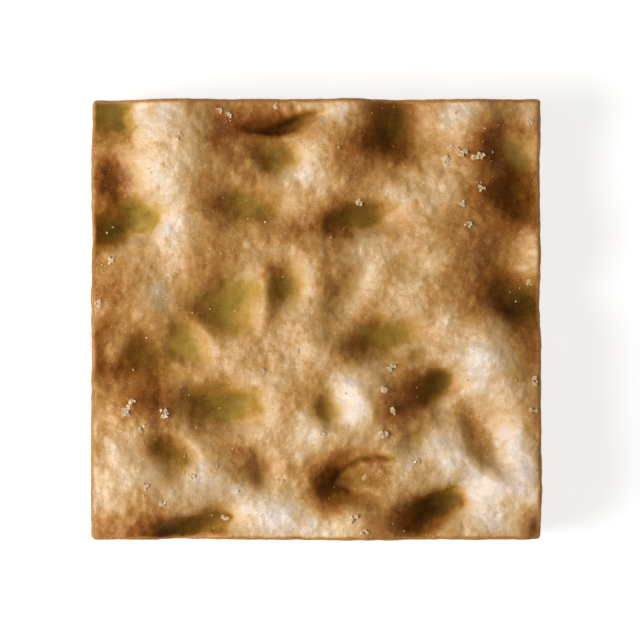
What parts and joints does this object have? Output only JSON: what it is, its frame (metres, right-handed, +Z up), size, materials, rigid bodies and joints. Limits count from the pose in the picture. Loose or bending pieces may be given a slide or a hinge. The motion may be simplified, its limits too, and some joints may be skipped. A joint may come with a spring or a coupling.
{
  "type": "focaccia",
  "caption": "Square tin-baked focaccia: a flat bread with finger dimples between puffs of dough, a browned crust and coarse salt on its top.",
  "frame": {"origin": "middle of the flat base, on the surface that the bread rests on", "axes": "+Z up out of the dimpled top, +X to the picture's right, +Y to the picture's upper edge"},
  "size_m": [0.1502, 0.1472, 0.0324],
  "materials": {
    "crust": "baked bread crust, cream to golden brown and red-brown, with a thin gloss of olive oil that stands green in the dimples",
    "salt": "coarse salt crystals, white and partly translucent"
  },
  "bodies": {
    "root": {"focaccia": "crust"}
  },
  "joints": []
}
